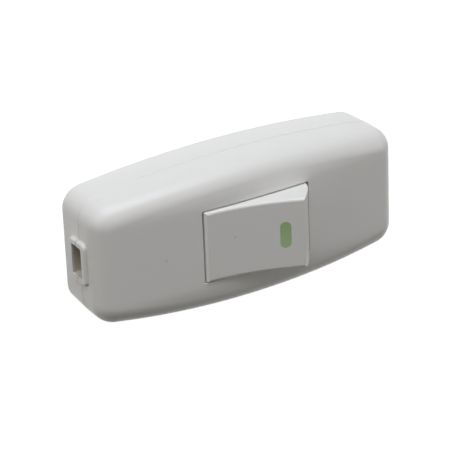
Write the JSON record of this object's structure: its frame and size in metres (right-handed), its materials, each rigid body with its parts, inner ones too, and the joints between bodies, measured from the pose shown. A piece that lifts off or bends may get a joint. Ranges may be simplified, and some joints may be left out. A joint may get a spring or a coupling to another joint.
{
  "type": "inline cord switch",
  "caption": "Barrel-shaped inline rocker switch for a flat twin flex: two-shell white case, dished tilting rocker with a green mark, seesaw contact, screw terminals and cord clamps inside.",
  "frame": {"origin": "middle of the flat back face, on the surface that the switch lies on", "axes": "+X along the cord, towards the end with the rocker's raised, green-marked half; +Y across the case; +Z from the back up to the rocker"},
  "size_m": [0.0616, 0.0256, 0.0196],
  "materials": {
    "case_plastic": "semi-gloss moulded white",
    "rocker_plastic": "semi-gloss moulded white",
    "mark_green": "flush green inlay",
    "plunger_plastic": "natural acetal",
    "clamp_plastic": "moulded, as from the tool",
    "spring_steel": "bright drawn wire",
    "brass": "stamped, unlacquered",
    "contact_silver": "silver rivet",
    "screw_steel": "bright zinc plated"
  },
  "bodies": {
    "case": {"front_cover": "case_plastic", "back_cover": "case_plastic", "fixed_contact": "contact_silver", "fixed_terminal": "brass", "pivot_terminal": "brass", "terminal_screws": "screw_steel", "terminal_washers": "screw_steel", "neutral_link": "brass", "neutral_screws": "screw_steel", "neutral_washers": "screw_steel", "cord_clamp_left": "clamp_plastic", "cord_clamp_right": "clamp_plastic", "clamp_screws": "screw_steel", "case_screws": "screw_steel"},
    "rocker": {"rocker": "rocker_plastic", "rocker_mark": "mark_green", "plunger_spring": "spring_steel"},
    "plunger": {"plunger": "plunger_plastic"},
    "lever": {"contact_lever": "brass", "moving_contact": "contact_silver"}
  },
  "joints": [
    {"name": "rocker_tilt", "type": "hinge", "parent": "case", "child": "rocker", "pos_m": [0, 0, 0.0109], "axis": [0, 1, 0], "range_deg": [0, 31]},
    {"name": "lever_tilt", "type": "hinge", "parent": "case", "child": "lever", "pos_m": [0, 0, 0.0044], "axis": [0, 1, 0], "range_deg": [-16.01, 0]},
    {"name": "plunger_slide", "type": "slide", "parent": "rocker", "child": "plunger", "axis": [-0.2672, 0, 0.9636], "range_m": [0, 0.0004], "stiffness_N_per_m": 200, "springref_m": -0.002, "deforming": ["plunger_spring"]}
  ],
  "couplings": [
    {"joint": "lever_tilt", "follows": "rocker_tilt", "ratio": -0.51613}
  ]
}
